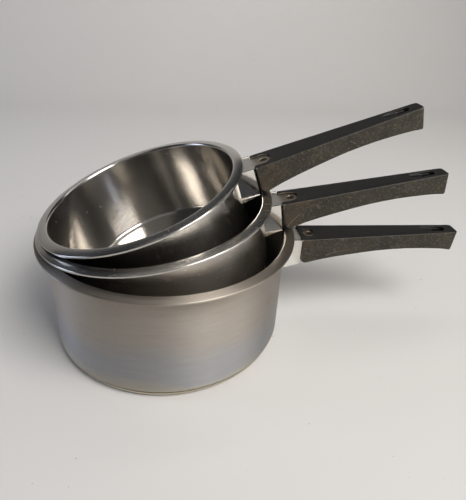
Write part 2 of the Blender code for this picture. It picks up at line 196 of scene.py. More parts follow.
# The camera: it looks down on the nest from in front of the large pan, a little to the left.
CAMERA_AIM = Vector((0.0664, 0.05166, 0.06948))
CAMERA_AWAY = 0.46433
CAMERA_ROUND = math.radians(-8.646)
CAMERA_UP = math.radians(28.218)
CAMERA_TILT = math.radians(3.266)
CAMERA_LENS = 35.275
CAMERA_SENSOR = 36.0
CAMERA_SHIFT = (-0.00566, -0.05069)

camera_data = bpy.data.cameras.new("studio_camera")
camera_data.lens = CAMERA_LENS
camera_data.sensor_width = CAMERA_SENSOR
camera_data.sensor_fit = "HORIZONTAL"
camera_data.shift_x, camera_data.shift_y = CAMERA_SHIFT
camera_data.clip_start = 0.01
camera = bpy.data.objects.new("studio_camera", camera_data)
back = Vector((
    math.sin(CAMERA_ROUND) * math.cos(CAMERA_UP),
    -math.cos(CAMERA_ROUND) * math.cos(CAMERA_UP),
    math.sin(CAMERA_UP),
))
right = (-back).cross(Vector((0, 0, 1))).normalized()
upward = right.cross(-back)
tilted_right = math.cos(CAMERA_TILT) * right + math.sin(CAMERA_TILT) * upward
tilted_up = -math.sin(CAMERA_TILT) * right + math.cos(CAMERA_TILT) * upward
turn = Matrix((tilted_right, tilted_up, back)).transposed().to_4x4()
camera.matrix_world = Matrix.Translation(CAMERA_AIM + CAMERA_AWAY * back) @ turn
bpy.context.scene.collection.objects.link(camera)
bpy.context.scene.camera = camera

# The nest: a large pan on the sheet, a medium one leaning in it and a small one leaning in that.
# Every piece is made upright with its pan's base centre at its origin, then set in its pan's place.
PANS = (
    dict(name="large", mouth=0.100, height=0.0995, rim_at=(0, 0, 0.0995), lean=0, roll=0, swing=0),
    dict(
        name="medium", mouth=0.090, height=0.0895, rim_at=(-0.01063, 0.0019, 0.11665),
        lean=8.8, roll=0, swing=0.5,
    ),
    dict(
        name="small", mouth=0.080, height=0.0790, rim_at=(-0.02364, 0.0048, 0.13238),
        lean=18.51, roll=1.7, swing=2.7,
    ),
)
for pan in PANS:
    turn = (
        Matrix.Rotation(math.radians(pan["swing"]), 4, "Z")
        @ Matrix.Rotation(-math.radians(pan["lean"]), 4, "Y")
        @ Matrix.Rotation(math.radians(pan["roll"]), 4, "X")
    )
    rim = Matrix.Translation(pan["rim_at"])
    pan["place"] = rim @ turn @ Matrix.Translation((0, 0, -pan["height"]))


def add_piece(pan, part, bm, material, sharp=30.0):
    """A piece of this pan: it stands for the pan's CAD node of that name, and rides on its pan."""
    bmesh.ops.recalc_face_normals(bm, faces=bm.faces)
    name = pan["name"] + "_" + part
    mesh = bpy.data.meshes.new("shown_" + name)
    bm.to_mesh(mesh)
    bm.free()
    mesh.shade_smooth()
    mesh.set_sharp_from_angle(angle=math.radians(sharp))
    mesh.materials.append(material)
    piece = bpy.data.objects.new("shown_" + name, mesh)
    bpy.context.scene.collection.objects.link(piece)
    piece.matrix_world = pan["place"]
    return piece


def fit_piece(pan, part, piece):
    """Puts the finished piece in the place of its CAD node."""
    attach(piece, pan["name"] + "_pan")
    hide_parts(pan["name"] + "_" + part)


# The drawn bodies: one disc of stainless steel sheet for each pan, pressed into a straight wall,
# with a flared pouring rim and a turned-down lip, then brushed while it turns on a lathe.
WALL = 0.0008
RIM_WIDTH = 0.0090
RIM_ROLL = 0.0018
RIM_DROP = 0.0009
LIP_RADIUS = 0.0007
LIP_FOOT = 0.0026
FLOOR_TOP = 0.0055
CORNER = 0.0040
# Under the rim: where its flat starts, how thick the sheet is there, and the inner roll below it.
RIM_FLAT = 0.0010
RIM_SHEET = 0.00105
UNDER_ROLL = (0.0020, 0.0023)
UNDER_ROLL_BELOW = 0.0034
ROUND_STEPS = 192
STEEL = (0.56, 0.535, 0.50)
STEEL_STAIN = (0.40, 0.33, 0.25)


def curve(centre, radii, start, end, steps):
    """Points on an arc or a part of an ellipse in the plane of a profile, in degrees."""
    points = []
    for i in range(steps + 1):
        angle = math.radians(start + (end - start) * i / steps)
        points.append((centre[0] + radii[0] * math.cos(angle), centre[1] + radii[1] * math.sin(angle)))
    return points


def revolve(profile, steps=ROUND_STEPS, at=(0, 0)):
    """A solid turned about a vertical axis from a profile that starts and ends on it."""
    bm = bmesh.new()
    rings = []
    for radius, z in profile:
        count = 1 if radius == 0 else steps
        turns = [2 * math.pi * i / steps for i in range(count)]
        ring = [(at[0] + radius * math.cos(t), at[1] + radius * math.sin(t), z) for t in turns]
        rings.append([bm.verts.new(point) for point in ring])
    for low, high in zip(rings, rings[1:]):
        for i in range(steps):
            j = (i + 1) % steps
            corners = [low[i % len(low)], low[j % len(low)], high[j % len(high)], high[i % len(high)]]
            bm.faces.new(list(dict.fromkeys(corners)))
    return bm


def body_profile(pan):
    """Half of the body cut down its middle: up the inside, over the rim, and down the outside."""
    mouth, top = pan["mouth"], pan["height"]
    edge = mouth + RIM_WIDTH
    corner = (mouth - CORNER, FLOOR_TOP + CORNER)
    points = [(0, FLOOR_TOP), (mouth * 0.5, FLOOR_TOP)]
    points += curve(corner, (CORNER, CORNER), -90, 0, 8)
    points.append((mouth, top * 0.5))
    points += curve((mouth + RIM_ROLL, top - LIP_FOOT), (RIM_ROLL, LIP_FOOT), 180, 90, 7)
    points += curve((edge - LIP_RADIUS, top - RIM_DROP - LIP_RADIUS), (LIP_RADIUS, LIP_RADIUS), 82, 0, 5)
    points.append((edge, top - LIP_FOOT))
    points.append((edge - WALL, top - LIP_FOOT))
    points.append((edge - WALL, top - RIM_DROP - WALL))
    points.append((mouth + RIM_ROLL + RIM_FLAT, top - RIM_SHEET))
    points += curve((mouth + WALL + UNDER_ROLL[0], top - UNDER_ROLL_BELOW), UNDER_ROLL, 95, 180, 6)
    points += [(mouth + WALL, top * 0.5)]
    points += curve(corner, (CORNER + WALL, CORNER + WALL), 0, -90, 8)
    points.append((0, FLOOR_TOP - WALL))
    return points


def new_group(name, inputs, outputs):
    """A shader node group with float or colour sockets, and its input and output nodes."""
    tree = bpy.data.node_groups.new(name, "ShaderNodeTree")
    for socket, value in inputs.items():
        kind = "NodeSocketFloat" if isinstance(value, float) else "NodeSocketColor"
        made = tree.interface.new_socket(socket, in_out="INPUT", socket_type=kind)
        made.default_value = value if isinstance(value, float) else (*value, 1)
    for socket, kind in outputs.items():
        tree.interface.new_socket(socket, in_out="OUTPUT", socket_type="NodeSocket" + kind)
    return tree, tree.nodes.new("NodeGroupInput").outputs, tree.nodes.new("NodeGroupOutput").inputs


def use_group(tree, group, **inputs):
    """The outputs of a group placed in a material, with its own values."""
    node = tree.nodes.new("ShaderNodeGroup")
    node.node_tree = group
    for name, value in inputs.items():
        socket = node.inputs[name.replace("_", " ")]
        if isinstance(value, bpy.types.NodeSocket):
            tree.links.new(value, socket)
        else:
            socket.default_value = value if isinstance(value, float) else (*value, 1)
    return node.outputs


# Brushed grain: fine and broad streaks that run round the pan's axis, or along its handle.
turned_grain, given, result = new_group(
    "turned_grain", {"Seed": 0.0}, {"Fine": "Float", "Broad": "Float"}
)
tree = turned_grain
place = add_node(tree, "TexCoord").outputs["Object"]
flat = vector_of(tree, "MULTIPLY", place, (1, 1, 0))
radius = add_node(tree, "VectorMath", {"operation": "LENGTH"})
tree.links.new(flat, radius.inputs[0])
around = vector_of(tree, "NORMALIZE", flat)
height = add_node(tree, "SeparateXYZ", Vector=place).outputs["Z"]
across = sum_of(tree, "ADD", sum_of(tree, "ADD", radius.outputs["Value"], height), given["Seed"])
for output, lengthwise, crosswise in (("Fine", 5.0, 1500.0), ("Broad", 2.2, 260.0)):
    stretched = vector_of(tree, "SCALE", around)
    stretched.node.inputs["Scale"].default_value = lengthwise
    rise = add_node(tree, "CombineXYZ", Z=sum_of(tree, "MULTIPLY", across, crosswise)).outputs[0]
    streaks = noise_of(tree, vector_of(tree, "ADD", stretched, rise), 1.0, detail=4.0, roughness=0.6)
    tree.links.new(streaks, result[output])

straight_grain, given, result = new_group(
    "straight_grain", {"Seed": 0.0}, {"Fine": "Float", "Broad": "Float"}
)
tree = straight_grain
place = add_node(tree, "TexCoord").outputs["Object"]
shifted = vector_of(tree, "ADD", place, add_node(tree, "CombineXYZ", X=given["Seed"]).outputs[0])
for output, scales in (("Fine", (120.0, 1700.0, 1700.0)), ("Broad", (40.0, 320.0, 320.0))):
    streaks = noise_of(tree, vector_of(tree, "MULTIPLY", shifted, scales), 1.0, detail=4.0, roughness=0.6)
    tree.links.new(streaks, result[output])

# Kitchen wear on steel: brown cooking deposits, pale water specks and fine scratches over the grain.
PATCH_SCALE = 22.0
SMUDGE_SCALE = 90.0
DROP_SCALE = 190.0
DROP_EDGE = (0.05, 0.11)
DROPS_LEFT = (0.86, 0.87)
SCRATCH_TURN = (0.5, 0.9, 0.4)
SCRATCH_STRETCH = (14.0, 700.0, 700.0)
SCRATCH_EDGE = (0.69, 0.74)
SCRATCH_COLOUR = (0.75, 0.73, 0.69)
DROP_COLOUR = (0.80, 0.79, 0.76)
GRAIN_HEIGHT = 0.00008
worn_steel, given, result = new_group(
    "worn_steel",
    {
        "Fine": 0.5, "Broad": 0.5, "Steel": STEEL, "Stain": STEEL_STAIN, "Deposits": 0.3, "Specks": 0.3,
        "Scratches": 0.4, "Polish": 0.24, "Grain": 0.5,
    },
    {"Color": "Color", "Roughness": "Float", "Height": "Float"},
)
tree = worn_steel
place = add_node(tree, "TexCoord").outputs["Object"]
patches = noise_of(tree, place, PATCH_SCALE, detail=4.0)
smudges = noise_of(tree, place, SMUDGE_SCALE, detail=5.0, roughness=0.65)
grime = sum_of(tree, "ADD", sum_of(tree, "MULTIPLY", patches, 0.55), sum_of(tree, "MULTIPLY", smudges, 0.45))
bar = sum_of(tree, "SUBTRACT", 0.66, sum_of(tree, "MULTIPLY", given["Deposits"], 0.22))
deposits = sum_of(tree, "MULTIPLY", sum_of(tree, "SUBTRACT", grime, bar), 7.0, clamp=True)
deposits = sum_of(tree, "MULTIPLY", deposits, given["Deposits"], clamp=True)
drops = add_node(tree, "TexVoronoi", Vector=place, Scale=DROP_SCALE)
drop = sum_of(tree, "SUBTRACT", 1.0, step_of(tree, drops.outputs["Distance"], *DROP_EDGE))
chance = add_node(tree, "SeparateXYZ", Vector=drops.outputs["Color"]).outputs["X"]
chosen = step_of(tree, chance, *DROPS_LEFT)
specks = sum_of(tree, "MULTIPLY", sum_of(tree, "MULTIPLY", drop, chosen), given["Specks"])
skewed = add_node(tree, "Mapping", Vector=place, Rotation=SCRATCH_TURN, Scale=SCRATCH_STRETCH)
lines = noise_of(tree, skewed.outputs[0], 1.0, detail=2.0)
scratch = sum_of(tree, "MULTIPLY", step_of(tree, lines, *SCRATCH_EDGE), given["Scratches"])
streaky = sum_of(tree, "MULTIPLY", sum_of(tree, "SUBTRACT", given["Fine"], 0.5), given["Grain"])
banded = sum_of(tree, "MULTIPLY", sum_of(tree, "SUBTRACT", given["Broad"], 0.5), given["Grain"])
shade = sum_of(tree, "ADD", sum_of(tree, "MULTIPLY", streaky, 0.55), sum_of(tree, "MULTIPLY", banded, 0.35))
bright = add_node(tree, "HueSaturation", Color=given["Steel"])
tree.links.new(sum_of(tree, "ADD", 1.0, shade), bright.inputs["Value"])
colour = blend_of(tree, deposits, bright.outputs[0], given["Stain"])
colour = blend_of(tree, sum_of(tree, "MULTIPLY", scratch, 0.35), colour, SCRATCH_COLOUR)
colour = blend_of(tree, specks, colour, DROP_COLOUR)
tree.links.new(colour, result["Color"])
rough = sum_of(tree, "ADD", given["Polish"], sum_of(tree, "MULTIPLY", streaky, 0.22))
rough = sum_of(tree, "ADD", rough, sum_of(tree, "MULTIPLY", deposits, 0.22))
rough = sum_of(tree, "ADD", rough, sum_of(tree, "MULTIPLY", specks, 0.30))
rough = sum_of(tree, "ADD", rough, sum_of(tree, "MULTIPLY", scratch, 0.15), clamp=True)
tree.links.new(rough, result["Roughness"])
relief = sum_of(tree, "ADD", sum_of(tree, "MULTIPLY", streaky, 0.9), sum_of(tree, "MULTIPLY", banded, 0.5))
relief = sum_of(tree, "SUBTRACT", relief, sum_of(tree, "MULTIPLY", scratch, 0.10))
tree.links.new(relief, result["Height"])


def steel_material(name, grain, seed, relief, stretch, turned=True, **wear):
    """Brushed steel: the grain group, the wear group, and a highlight stretched across the grain."""
    material, tree, shader = new_material(name, Metallic=1.0, Anisotropic=stretch, Anisotropic_Rotation=0.25)
    streaks = use_group(tree, grain, Seed=seed)
    finish = use_group(tree, worn_steel, Fine=streaks["Fine"], Broad=streaks["Broad"], **wear)
    bump = add_node(tree, "Bump", Height=finish["Height"], Strength=relief, Distance=GRAIN_HEIGHT)
    tree.links.new(finish["Color"], shader.inputs["Base Color"])
    tree.links.new(finish["Roughness"], shader.inputs["Roughness"])
    tree.links.new(bump.outputs[0], shader.inputs["Normal"])
    if turned:
        tangent = add_node(tree, "Tangent", {"direction_type": "RADIAL", "axis": "Z"})
        tree.links.new(tangent.outputs[0], shader.inputs["Tangent"])
    return material, tree, shader, finish


BODY_WEAR = {
    "large": dict(Deposits=0.25, Specks=0.2, Scratches=0.4, Polish=0.48, Grain=0.45),
    "medium": dict(Deposits=0.35, Specks=0.5, Scratches=0.4, Polish=0.24, Grain=0.35),
    "small": dict(Deposits=0.18, Specks=0.6, Scratches=0.4, Polish=0.19, Grain=0.30),
}
# Heights on the large wall where its painted reflection changes colour, and the painted colours from the top
# down.
PAINTED_REFLECTION_BANDS = ((0.070, 0.095, (0.40, 0.355, 0.305)), (0.030, 0.062, (0.435, 0.395, 0.355)))
PAINTED_REFLECTION_BLUE = (0.385, 0.385, 0.395)
PAINTED_REFLECTION_FOOT = (0.46, 0.435, 0.385)
FOOT_EDGE = (0.006, 0.018)
# The line left by food: its height inside the pan, half its width and its colour.
TIDE_MARK = 0.060
TIDE_EDGE = (0.00015, 0.00055)
TIDE_COLOUR = (0.85, 0.82, 0.77)
INSIDE_EDGE = (0.0002, 0.0005)
for index, pan in enumerate(PANS):
    steel, tree, shader, finish = steel_material(
        pan["name"] + "_brushed_steel", turned_grain, 0.3 * index, 0.3, 0.8, **BODY_WEAR[pan["name"]]
    )
    place = add_node(tree, "TexCoord").outputs["Object"]
    height = add_node(tree, "SeparateXYZ", Vector=place).outputs["Z"]
    if pan["name"] == "large":
        # The outer wall is painted straw above and blue below, darker than bare steel: painted reflection of
        # the dim room and the pale floor.
        wander = sum_of(tree, "MULTIPLY", sum_of(tree, "SUBTRACT", noise_of(tree, place, 14.0), 0.5), 0.05)
        level = sum_of(tree, "ADD", height, wander)
        tint = blend_of(tree, step_of(tree, level, *FOOT_EDGE), PAINTED_REFLECTION_FOOT, PAINTED_REFLECTION_BLUE)
        for low, high, colour in reversed(PAINTED_REFLECTION_BANDS):
            tint = blend_of(tree, step_of(tree, level, low, high), tint, colour)
        tree.links.new(tint, finish["Color"].node.inputs["Steel"])
    else:
        # A faint line stays inside the two upper pans where food has stood.
        flat = vector_of(tree, "MULTIPLY", place, (1, 1, 0))
        reach = add_node(tree, "VectorMath", {"operation": "LENGTH"})
        tree.links.new(flat, reach.inputs[0])
        edge = [pan["mouth"] + past for past in INSIDE_EDGE]
        inside = sum_of(tree, "SUBTRACT", 1.0, step_of(tree, reach.outputs["Value"], *edge))
        wobble = sum_of(tree, "MULTIPLY", noise_of(tree, place, 60.0), 0.0008)
        level = sum_of(tree, "ADD", height, wobble)
        off = sum_of(tree, "ABSOLUTE", sum_of(tree, "SUBTRACT", level, TIDE_MARK))
        line = sum_of(tree, "SUBTRACT", 1.0, step_of(tree, off, *TIDE_EDGE))
        line = sum_of(tree, "MULTIPLY", sum_of(tree, "MULTIPLY", line, inside), 0.35)
        marked = blend_of(tree, line, finish["Color"], TIDE_COLOUR)
        tree.links.new(marked, shader.inputs["Base Color"])
    piece = add_piece(pan, "body", revolve(body_profile(pan)), steel)
    fit_piece(pan, "body", piece)

# The heat-spreading cores: discs of aluminium bonded under each floor, out of sight in the cap.
# The CAD solids are kept, with a lathe-turned face.
for index, pan in enumerate(PANS):
    aluminium, tree, shader, finish = steel_material(
        pan["name"] + "_turned_aluminium", turned_grain, 2.0 + index, 0.4, 0.0, turned=False,
        Steel=(0.72, 0.72, 0.73), Deposits=0.1, Specks=0.1, Scratches=0.2, Polish=0.42, Grain=0.5,
    )
    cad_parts[pan["name"] + "_core"].material_slots[0].material = aluminium

# The base caps: dished steel pressed over each core, polished round the edge and flat below,
# with a straw tint from the flame round the corner.
CAP_SHEET = 0.0006
CAP_INSET = 0.0004
CAP_CORNER = 0.0060
CAP_STEEL = (0.57, 0.55, 0.51)
HEAT_TINT = (0.52, 0.43, 0.27)
HEAT_EDGE = (0.0004, 0.0034)


def cap_profile(pan):
    """Half of the cap: out along its flat foot, up the rounded corner, and back inside the sheet."""
    reach = pan["mouth"] - CAP_INSET
    centre = (reach - CAP_CORNER, CAP_CORNER)
    high = math.degrees(math.asin((FLOOR_TOP - CAP_CORNER) / CAP_CORNER))
    inner_high = math.degrees(math.asin((FLOOR_TOP - CAP_CORNER) / (CAP_CORNER - CAP_SHEET)))
    inner = CAP_CORNER - CAP_SHEET
    points = [(0, 0), (reach * 0.5, 0)] + curve(centre, (CAP_CORNER, CAP_CORNER), -90, high, 12)
    return points + curve(centre, (inner, inner), inner_high, -90, 8) + [(0, CAP_SHEET)]


for index, pan in enumerate(PANS):
    steel, tree, shader, finish = steel_material(
        pan["name"] + "_cap_steel", turned_grain, 4.0 + index, 0.4, 0.5,
        Steel=CAP_STEEL, Deposits=0.5, Specks=0.2, Scratches=0.6, Polish=0.30, Grain=0.6,
    )
    place = add_node(tree, "TexCoord").outputs["Object"]
    height = add_node(tree, "SeparateXYZ", Vector=place).outputs["Z"]
    heated = sum_of(tree, "MULTIPLY", step_of(tree, height, *HEAT_EDGE), 0.55)
    tree.links.new(blend_of(tree, heated, finish["Color"], HEAT_TINT), shader.inputs["Base Color"])
    piece = add_piece(pan, "cap", revolve(cap_profile(pan)), steel)
    fit_piece(pan, "cap", piece)

# The brackets: steel sheet folded into two cheeks and a web, creased where the cheeks flare out to
# the wall, welded to the pan. A narrow lip stands round the front edge, next to the grip.
HANDLE_OFF_RIM = 0.0080
HANDLE_BELOW_RIM = 0.0092
FRONT_WIDTH = 0.0290
FRONT_DEPTH = 0.0245
FRONT_GAP = 0.0006
GAP = 0.0003
BRACKET_SHEET = 0.0012
CHEEK_FLARE = 0.0060
BRACKET_LIP = 0.0007
BRACKET_LIP_WIDTH = 0.0016
BACK_STEPS = 24
# How far a cutter runs past the surface that it cuts.
PAST = 0.002
TANG_SHEET = 0.0018
TANG_BELOW_TOP = 0.0012
for pan in PANS:
    pan["front"] = pan["mouth"] + RIM_WIDTH + HANDLE_OFF_RIM
    pan["top"] = pan["height"] - HANDLE_BELOW_RIM


def wall_x(pan, y, off):
    """Where the pan's outer wall, moved out by off, stands at this distance from its middle."""
    radius = pan["mouth"] + WALL + off
    return math.sqrt(radius * radius - y * y)


def prism(outline, low, high):
    """An upright solid on an outline."""
    bm = bmesh.new()
    below = [bm.verts.new((x, y, low)) for x, y in outline]
    above = [bm.verts.new((x, y, high)) for x, y in outline]
    bm.faces.new(below)
    bm.faces.new(above)
    for i in range(len(outline)):
        j = (i + 1) % len(outline)
        bm.faces.new((below[i], below[j], above[j], above[i]))
    return bm


def cut(piece, bm):
    """Takes the shape in bm, given in the pan's own frame, out of the piece."""
    bmesh.ops.recalc_face_normals(bm, faces=bm.faces)
    mesh = bpy.data.meshes.new("cutter")
    bm.to_mesh(mesh)
    bm.free()
    cutter = bpy.data.objects.new("cutter", mesh)
    bpy.context.scene.collection.objects.link(cutter)
    cutter.matrix_world = piece.matrix_world
    modifier = piece.modifiers.new("cut", "BOOLEAN")
    modifier.operation = "DIFFERENCE"
    modifier.solver = "EXACT"
    modifier.object = cutter
    settle(piece)
    bpy.data.objects.remove(cutter)


def settle(piece):
    """Makes the piece's modifiers part of its mesh."""
    bpy.context.view_layer.update()
    graph = bpy.context.evaluated_depsgraph_get()
    mesh = bpy.data.meshes.new_from_object(piece.evaluated_get(graph))
    piece.modifiers.clear()
    piece.data = mesh


def soften(piece, width, segments=2, angle=30.0, sharp=35.0):
    """Breaks the sharp edges, as a file or a press does."""
    bevel = piece.modifiers.new("soften", "BEVEL")
    bevel.width = width
    bevel.segments = segments
    bevel.limit_method = "ANGLE"
    bevel.angle_limit = math.radians(angle)
    bevel.harden_normals = False
    settle(piece)
    piece.data.shade_smooth()
    piece.data.set_sharp_from_angle(angle=math.radians(sharp))


def bracket_shape(pan):
    """The folded sheet: outer and inner skins from the web up to the tops of the cheeks."""
    front, top = pan["front"] - FRONT_GAP, pan["top"]
    low = top - FRONT_DEPTH
    half = FRONT_WIDTH / 2
    bm = bmesh.new()

    def outline(flare, inset, z):
        side, foot, off = half - inset, half + flare - inset, GAP + inset
        lip = BRACKET_LIP * (inset == 0)
        points = [(front, -side - lip), (front - BRACKET_LIP_WIDTH, -side)]
        for i in range(BACK_STEPS + 1):
            y = -foot + 2 * foot * i / BACK_STEPS
            points.append((wall_x(pan, y, off), y))
        points += [(front - BRACKET_LIP_WIDTH, side), (front, side + lip)]
        return [bm.verts.new((x, y, z)) for x, y in points]

    outer_low = outline(CHEEK_FLARE, 0, low)
    outer_top = outline(0, 0, top)
    inner_low = outline(CHEEK_FLARE, BRACKET_SHEET, low + BRACKET_SHEET)
    inner_top = outline(0, BRACKET_SHEET, top)
    last = len(outer_low) - 1
    for low_edge, top_edge in ((outer_low, outer_top), (inner_low, inner_top)):
        for i in range(last):
            corners = (low_edge[i], low_edge[i + 1], top_edge[i + 1], top_edge[i])
            if i == 1:
                bm.faces.new((corners[0], corners[1], corners[2]))
                bm.faces.new((corners[0], corners[2], corners[3]))
            elif i == last - 2:
                bm.faces.new((corners[0], corners[1], corners[3]))
                bm.faces.new((corners[1], corners[2], corners[3]))
            else:
                bm.faces.new(corners)
    bm.faces.new(outer_low)
    bm.faces.new(inner_low)
    for i in range(last):
        bm.faces.new((outer_top[i], outer_top[i + 1], inner_top[i + 1], inner_top[i]))
    bm.faces.new((outer_low[0], outer_low[last], inner_low[last], inner_low[0]))
    bm.faces.new((outer_low[0], outer_top[0], inner_top[0], inner_low[0]))
    bm.faces.new((outer_low[last], outer_top[last], inner_top[last], inner_low[last]))
    return bm


for index, pan in enumerate(PANS):
    steel, tree, shader, finish = steel_material(
        pan["name"] + "_folded_steel", straight_grain, 6.0 + index, 0.4, 0.0, turned=False,
        Steel=(0.72, 0.70, 0.65), Deposits=0.30, Specks=0.2, Scratches=0.6, Polish=0.11, Grain=0.35,
    )
    piece = add_piece(pan, "bracket", bracket_shape(pan), steel)
    reach = FRONT_WIDTH / 2 - BRACKET_SHEET
    behind, ahead = wall_x(pan, 0, -2 * PAST), pan["front"] + PAST
    clear = [(behind, -reach), (ahead, -reach), (ahead, reach), (behind, reach)]
    cut(piece, prism(clear, pan["top"] - TANG_BELOW_TOP - TANG_SHEET - GAP, pan["top"] + PAST))
    soften(piece, 0.00015, sharp=7.0)
    fit_piece(pan, "bracket", piece)

# The tangs: flat steel bars from each wall into the grip, with a round-ended tongue and a sunk hole
# for the screw. Grease from the grip has browned the tongue.
TONGUE_WIDTH = 0.0164
TONGUE_LENGTH = 0.0155
SCREW_AT = 0.0096
HEAD_RADIUS = 0.0033
HEAD_HEIGHT = 0.0016
SHANK_RADIUS = 0.0019
GREASE = (0.30, 0.245, 0.17)


def tang_outline(pan):
    """The bar seen from above: round-ended tongue, square shoulders, and a back that fits the wall."""
    half = FRONT_WIDTH / 2 - BRACKET_SHEET - GAP
    shoulder = pan["front"] - FRONT_GAP
    tip = pan["front"] + TONGUE_LENGTH - TONGUE_WIDTH / 2
    points = [(shoulder, -half), (shoulder, -TONGUE_WIDTH / 2)]
    points += curve((tip, 0), (TONGUE_WIDTH / 2, TONGUE_WIDTH / 2), -90, 90, 32)
    points += [(shoulder, TONGUE_WIDTH / 2), (shoulder, half)]
    for i in range(BACK_STEPS + 1):
        y = half - 2 * half * i / BACK_STEPS
        points.append((wall_x(pan, y, GAP), y))
    return points


for index, pan in enumerate(PANS):
    steel, tree, shader, finish = steel_material(
        pan["name"] + "_bar_steel", straight_grain, 9.0 + index, 0.5, 0.0, turned=False,
        Steel=(0.72, 0.70, 0.66), Deposits=0.25, Specks=0.3, Scratches=0.6, Polish=0.50, Grain=0.4,
    )
    place = add_node(tree, "TexCoord").outputs["Object"]
    along = add_node(tree, "SeparateXYZ", Vector=place).outputs["X"]
    edge = sum_of(tree, "ADD", along, sum_of(tree, "MULTIPLY", noise_of(tree, place, 160.0), 0.004))
    greasy = sum_of(tree, "MULTIPLY", step_of(tree, edge, pan["front"] - 0.001, pan["front"] + 0.006), 0.8)
    tree.links.new(blend_of(tree, greasy, finish["Color"], GREASE), shader.inputs["Base Color"])
    high = pan["top"] - TANG_BELOW_TOP
    piece = add_piece(pan, "tang", prism(tang_outline(pan), high - TANG_SHEET, high), steel)
    wide, narrow = HEAD_RADIUS + GAP, SHANK_RADIUS + GAP
    sink = [
        (0, high + 0.001), (wide, high + 0.001), (wide, high), (narrow, high - HEAD_HEIGHT),
        (narrow, high - TANG_SHEET - 0.001), (0, high - TANG_SHEET - 0.001),
    ]
    cut(piece, revolve(sink, 48, (pan["front"] + SCREW_AT, 0)))
    soften(piece, 0.0002, angle=50.0)
    fit_piece(pan, "tang", piece)

# The grips: black heat-proof resin, moulded in one piece. Deep at the front and hollowed below, with
# a recess for the tang's tongue, and a sloping groove that ends in the hanging hole at the tail.
HANDLE_LENGTH = 0.152
HANDLE_RISE = math.radians(0.7)
TAIL_WIDTH = 0.0152
TAIL_UNDERCUT = 0.0020
TAIL_CORNER = 0.0030
GRIP_EDGE = 0.0012
END_EDGE = 0.0007
# Share of the length, and how far the underside stands above its deepest line there.
UNDERSIDE = (
    (0.0, 0.0045), (0.006, 0.0025), (0.016, 0.0010), (0.034, 0.0), (0.12, 0.0028), (0.21, 0.0048),
    (0.30, 0.0063), (0.40, 0.0078), (0.50, 0.0089), (0.59, 0.0093), (0.68, 0.0092), (0.77, 0.0085),
    (0.85, 0.0076), (0.93, 0.0063), (0.985, 0.0049), (1.0, 0.0052),
)
STATIONS = 64
RECESS_LENGTH = TONGUE_LENGTH + GAP
RECESS_WIDTH = TONGUE_WIDTH + 2 * GAP
RECESS_DEPTH = TANG_BELOW_TOP + TANG_SHEET + GAP
WINDOW_SIZE = (0.0100, 0.0130)
INSERT_RADIUS = 0.0036
INSERT_LENGTH = 0.0100
HOLE_WIDTH = 0.0070
HOLE_LENGTH = 0.0120
HOLE_FROM_TAIL = 0.0167
GROOVE_LENGTH = 0.0240
GROOVE_WIDTH = 0.0080
GROOVE_START = 0.0010
GROOVE_SLOPE = math.radians(4.0)
GRIP_VOXEL = 0.00042
RESIN_HEIGHT = 0.00012
RESIN = (0.0080, 0.0076, 0.0070)
RESIN_WORN = (0.050, 0.043, 0.031)
RESIN_PALE = (0.135, 0.118, 0.088)
RESIN_EDGE = (0.33, 0.295, 0.24)
RESIN_RUST = (0.072, 0.050, 0.032)
# The scuffs are arcs. Each row gives the centre, ahead of the grip's front and in height, and the radius.
SCUFFS = ((0.030, -0.012, 0.052), (0.046, 0.020, 0.058), (0.022, 0.004, 0.047))
SCUFF_EDGE = (0.00008, 0.00028)


def grip_section(x, half, high, low):
    """A rounded rectangle across the grip."""
    points = []
    corners = ((half, low, -90), (half, high, 0), (-half, high, 90), (-half, low, 180))
    for y, z, start in corners:
        centre = (y - math.copysign(GRIP_EDGE, y), z + (GRIP_EDGE if z == low else -GRIP_EDGE))
        points += [(x, a, b) for a, b in curve(centre, (GRIP_EDGE, GRIP_EDGE), start, start + 90, 5)]
    return points


def grip_shape(place):
    """The grip before its recess, groove and hole are cut, with stations closer together at its ends."""
    shares, rises = zip(*UNDERSIDE)
    even = numpy.linspace(0, 1, STATIONS)
    stations = (1 - numpy.cos(math.pi * even)) / 2
    bm = bmesh.new()
    rings = []
    for share in stations:
        low = -FRONT_DEPTH + float(numpy.interp(share, shares, rises))
        half = (FRONT_WIDTH + (TAIL_WIDTH - FRONT_WIDTH) * share) / 2
        short = max(0.0, TAIL_CORNER - (1 - share) * HANDLE_LENGTH)
        half -= TAIL_CORNER - math.sqrt(TAIL_CORNER * TAIL_CORNER - short * short)
        lean = TAIL_UNDERCUT * max(0.0, share - 0.9) / 0.1
        near_end = min(share, 1 - share) * HANDLE_LENGTH
        inset = END_EDGE * max(0.0, 1 - near_end / END_EDGE) ** 2
        section = grip_section(share * HANDLE_LENGTH, half - inset, -inset, low + inset)
        rings.append([bm.verts.new((x + lean * z / 0.02, y, z)) for x, y, z in section])
    bm.faces.new(rings[0])
    bm.faces.new(rings[-1])
    for near, far in zip(rings, rings[1:]):
        for i in range(len(near)):
            j = (i + 1) % len(near)
            bm.faces.new((near[i], near[j], far[j], far[i]))
    bm.transform(place)
    return bm


def stadium(x, length, width):
    """A long hole with round ends, seen from above."""
    half, radius = (length - width) / 2, (width / 2, width / 2)
    return curve((x + half, 0), radius, -90, 90, 16) + curve((x - half, 0), radius, 90, 270, 16)


